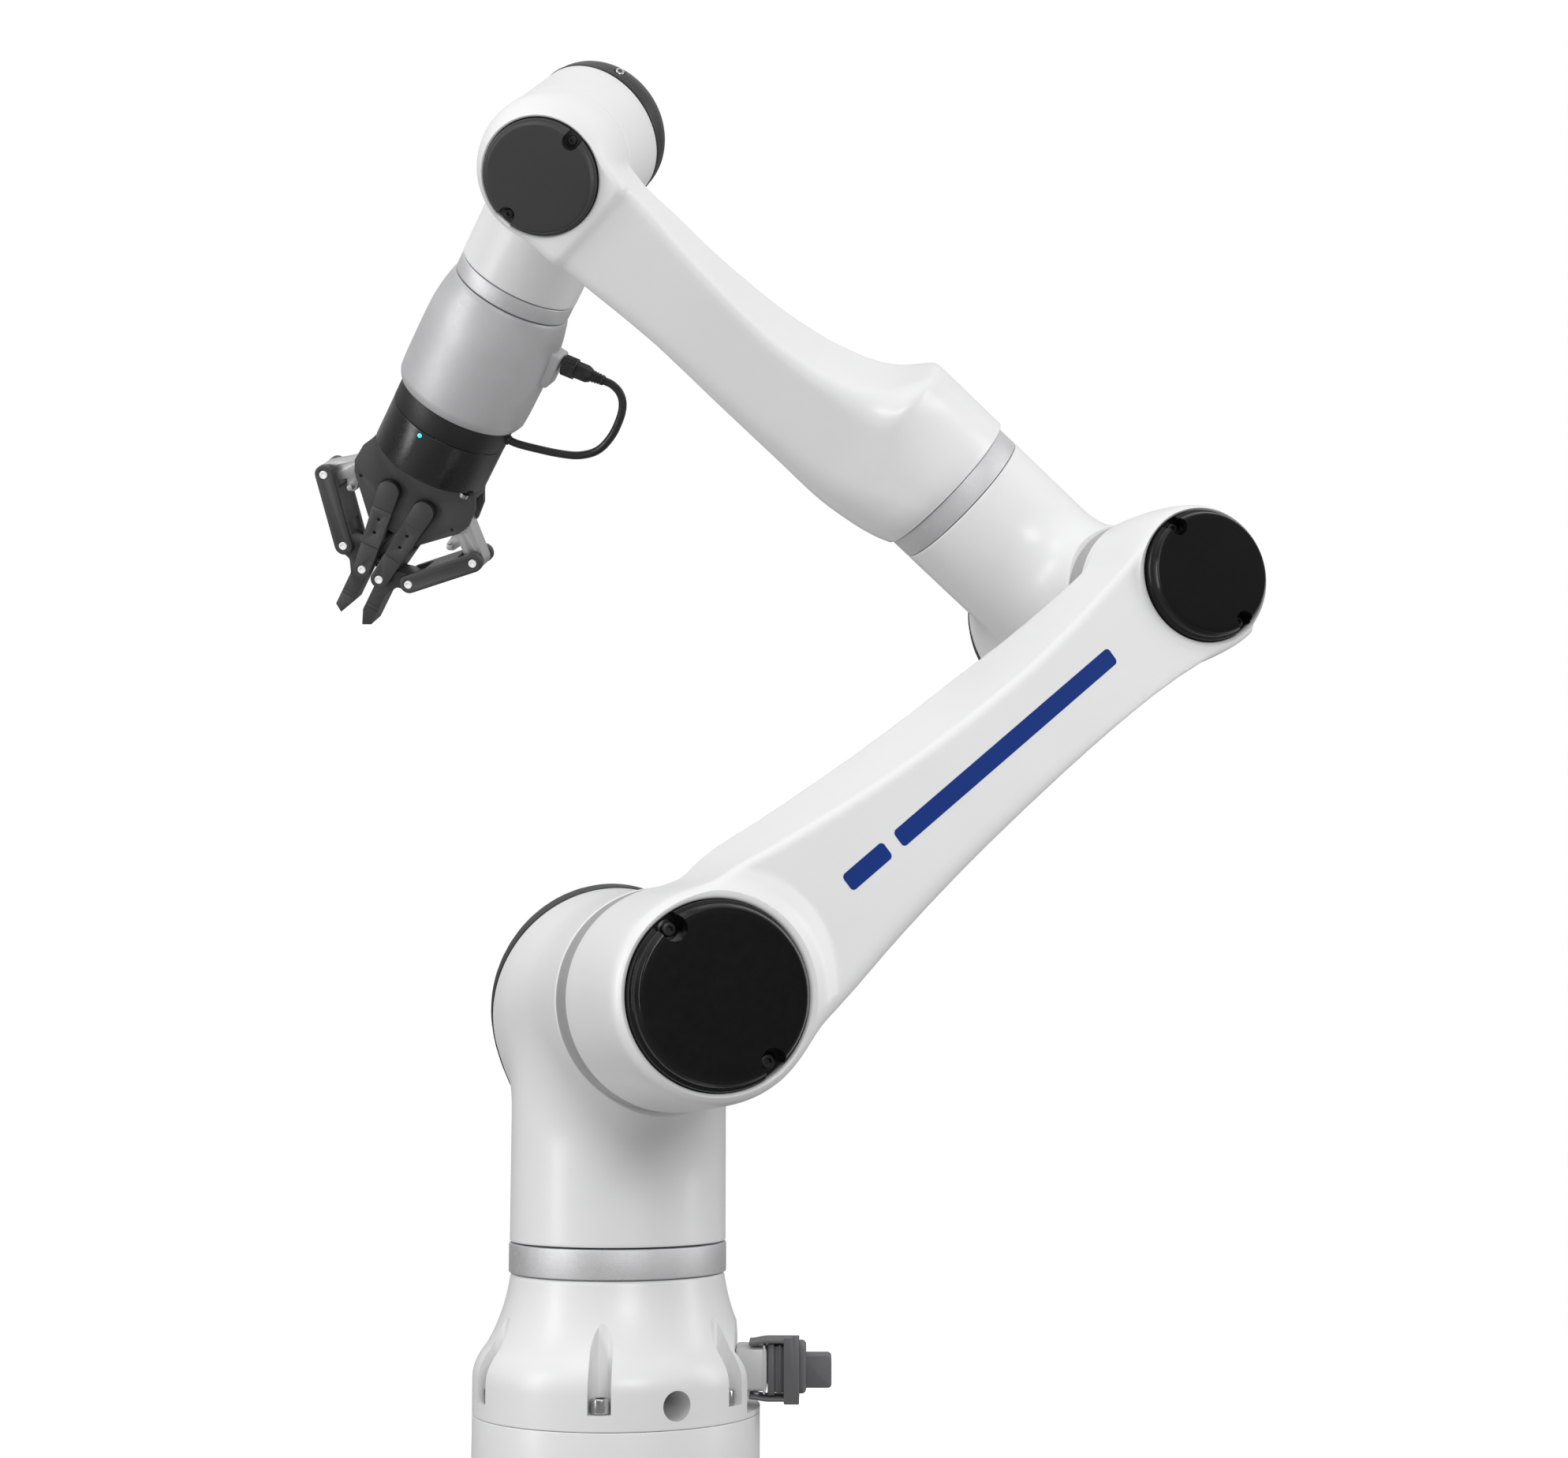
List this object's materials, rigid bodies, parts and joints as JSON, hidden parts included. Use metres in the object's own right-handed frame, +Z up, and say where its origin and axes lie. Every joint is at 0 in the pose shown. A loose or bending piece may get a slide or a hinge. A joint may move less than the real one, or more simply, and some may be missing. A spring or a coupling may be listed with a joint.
{
  "type": "collaborative robot arm",
  "caption": "Collaborative robot arm of offset rotary joints on a round plinth, with a parallel linkage gripper on its flange.",
  "frame": {"origin": "centre of the plinth's flat bottom face, on the first joint's axis", "axes": "+Z up along the first joint axis, +Y from the front of the arm to its back, +X towards the elbow at rest"},
  "size_m": [0.5026, 0.4288, 0.8337],
  "materials": {
    "white_paint": "satin white powder coat on cast aluminium",
    "blasted_ring": "bead-blasted aluminium",
    "grey_ring": "matt grey seal ring",
    "gloss_black": "gloss black moulded cap",
    "matt_black": "matt dark moulded cover",
    "steel": "zinc-plated steel",
    "connector_grey": "grey painted die casting",
    "connector_dark": "dark grey plastic",
    "drive_metal": "machined drive unit",
    "silver_paint": "silver-grey metallic paint",
    "rubber": "black cable jacket and overmould",
    "anodised": "black hard anodising",
    "crank_metal": "satin bare aluminium",
    "white_pin": "bright pin ends",
    "led": "cyan lens"
  },
  "bodies": {
    "base": {"plinth": "white_paint", "base_housing": "white_paint", "base_bolt_1": "steel", "base_bolt_2": "steel", "base_bolt_3": "steel", "base_bolt_4": "steel", "base_bolt_5": "steel", "base_bolt_6": "steel", "connector_housing": "connector_grey", "connector_hood": "connector_dark", "j1_drive": "drive_metal"},
    "lever": {"connector_lever": "connector_dark"},
    "shoulder": {"j1_ring": "blasted_ring", "shoulder_housing": "white_paint", "shoulder_rear_cap": "matt_black", "j2_ring": "grey_ring", "j2_drive": "drive_metal"},
    "upper_arm": {"upper_arm": "white_paint", "j2_cap": "gloss_black", "j2_cap_screw_a": "gloss_black", "j2_cap_screw_b": "gloss_black", "j3_cap": "gloss_black", "j3_cap_screw_a": "gloss_black", "j3_cap_screw_b": "gloss_black"},
    "elbow": {"elbow_housing": "white_paint", "elbow_rear_cap": "matt_black", "j3_ring": "grey_ring", "j4_ring": "blasted_ring", "j3_drive": "drive_metal"},
    "forearm": {"forearm": "white_paint", "j5_cap": "matt_black", "j5_cap_screw_a": "steel", "j5_cap_screw_b": "steel"},
    "wrist": {"wrist_housing": "white_paint", "wrist_rear_cap": "matt_black", "rear_cap_screw": "steel", "j6_ring": "blasted_ring", "j5_drive": "drive_metal"},
    "tool": {"flange_housing": "silver_paint", "io_connector": "rubber", "tool_cable": "rubber", "gripper_coupling": "anodised", "gripper_body": "anodised", "gripper_palm": "anodised", "palm_screw": "white_pin", "status_led": "led"},
    "right_crank": {"right_crank": "crank_metal", "right_link": "anodised", "right_pin_a": "white_pin", "right_pin_b": "white_pin"},
    "right_knuckle": {"right_knuckle": "anodised", "right_pin_c": "white_pin"},
    "right_fingertip": {"right_fingertip": "anodised"},
    "left_crank": {"left_crank": "crank_metal", "left_link": "anodised", "left_pin_a": "white_pin", "left_pin_b": "white_pin"},
    "left_knuckle": {"left_knuckle": "anodised", "left_pin_c": "white_pin"},
    "left_fingertip": {"left_fingertip": "anodised"}
  },
  "joints": [
    {"name": "j1_base", "type": "hinge", "parent": "base", "child": "shoulder", "pos_m": [0, 0, 0.06], "axis": [0, 0, 1], "range_deg": [-360, 360]},
    {"name": "j2_shoulder", "type": "hinge", "parent": "shoulder", "child": "upper_arm", "pos_m": [0, 0, 0.2842], "axis": [0, 1, 0], "range_deg": [-186, 83]},
    {"name": "j3_elbow", "type": "hinge", "parent": "upper_arm", "child": "elbow", "pos_m": [0.29694, 0, 0.52133], "axis": [0, -1, 0], "range_deg": [-254, 51]},
    {"name": "j4_forearm", "type": "hinge", "parent": "elbow", "child": "forearm", "pos_m": [0.29694, 0, 0.52133], "axis": [-0.7711, 0, 0.6368], "range_deg": [-317, 402]},
    {"name": "j5_wrist", "type": "hinge", "parent": "forearm", "child": "wrist", "pos_m": [-0.02591, 0, 0.78793], "axis": [0.429, 0.739, 0.5194], "range_deg": [-24, 250]},
    {"name": "j6_tool", "type": "hinge", "parent": "wrist", "child": "tool", "pos_m": [-0.02591, 0, 0.78793], "axis": [-0.2621, 0.6521, -0.7114], "range_deg": [-360, 360]},
    {"name": "lever_swing", "type": "hinge", "parent": "base", "child": "lever", "pos_m": [0.07301, -0.02658, 0.06], "axis": [0, 0, -1], "range_deg": [0, 25]},
    {"name": "grip_right_crank", "type": "hinge", "parent": "tool", "child": "right_crank", "pos_m": [-0.06557, 0.15552, 0.5955], "axis": [-0.4854, -0.7262, -0.4868], "range_deg": [0, 47.5]},
    {"name": "grip_left_crank", "type": "hinge", "parent": "tool", "child": "left_crank", "pos_m": [-0.11661, 0.16884, 0.62652], "axis": [0.4854, 0.7262, 0.4868], "range_deg": [0, 47.5]},
    {"name": "grip_right_knuckle", "type": "hinge", "parent": "tool", "child": "right_knuckle", "pos_m": [-0.0822, 0.16365, 0.59995], "axis": [-0.4854, -0.7262, -0.4868], "range_deg": [0, 47.5]},
    {"name": "grip_left_knuckle", "type": "hinge", "parent": "tool", "child": "left_knuckle", "pos_m": [-0.10339, 0.16918, 0.61283], "axis": [0.4854, 0.7262, 0.4868], "range_deg": [0, 47.5]},
    {"name": "grip_right_fingertip", "type": "hinge", "parent": "right_crank", "child": "right_fingertip", "pos_m": [-0.08575, 0.19392, 0.55834], "axis": [0.4854, 0.7262, 0.4868], "range_deg": [0, 47.5]},
    {"name": "grip_left_fingertip", "type": "hinge", "parent": "left_crank", "child": "left_fingertip", "pos_m": [-0.12619, 0.20448, 0.58292], "axis": [-0.4854, -0.7262, -0.4868], "range_deg": [0, 47.5]}
  ],
  "couplings": [
    {"joint": "grip_left_crank", "follows": "grip_right_crank", "ratio": 1},
    {"joint": "grip_right_knuckle", "follows": "grip_right_crank", "ratio": 1},
    {"joint": "grip_left_knuckle", "follows": "grip_right_crank", "ratio": 1},
    {"joint": "grip_right_fingertip", "follows": "grip_right_crank", "ratio": 1},
    {"joint": "grip_left_fingertip", "follows": "grip_right_crank", "ratio": 1}
  ]
}
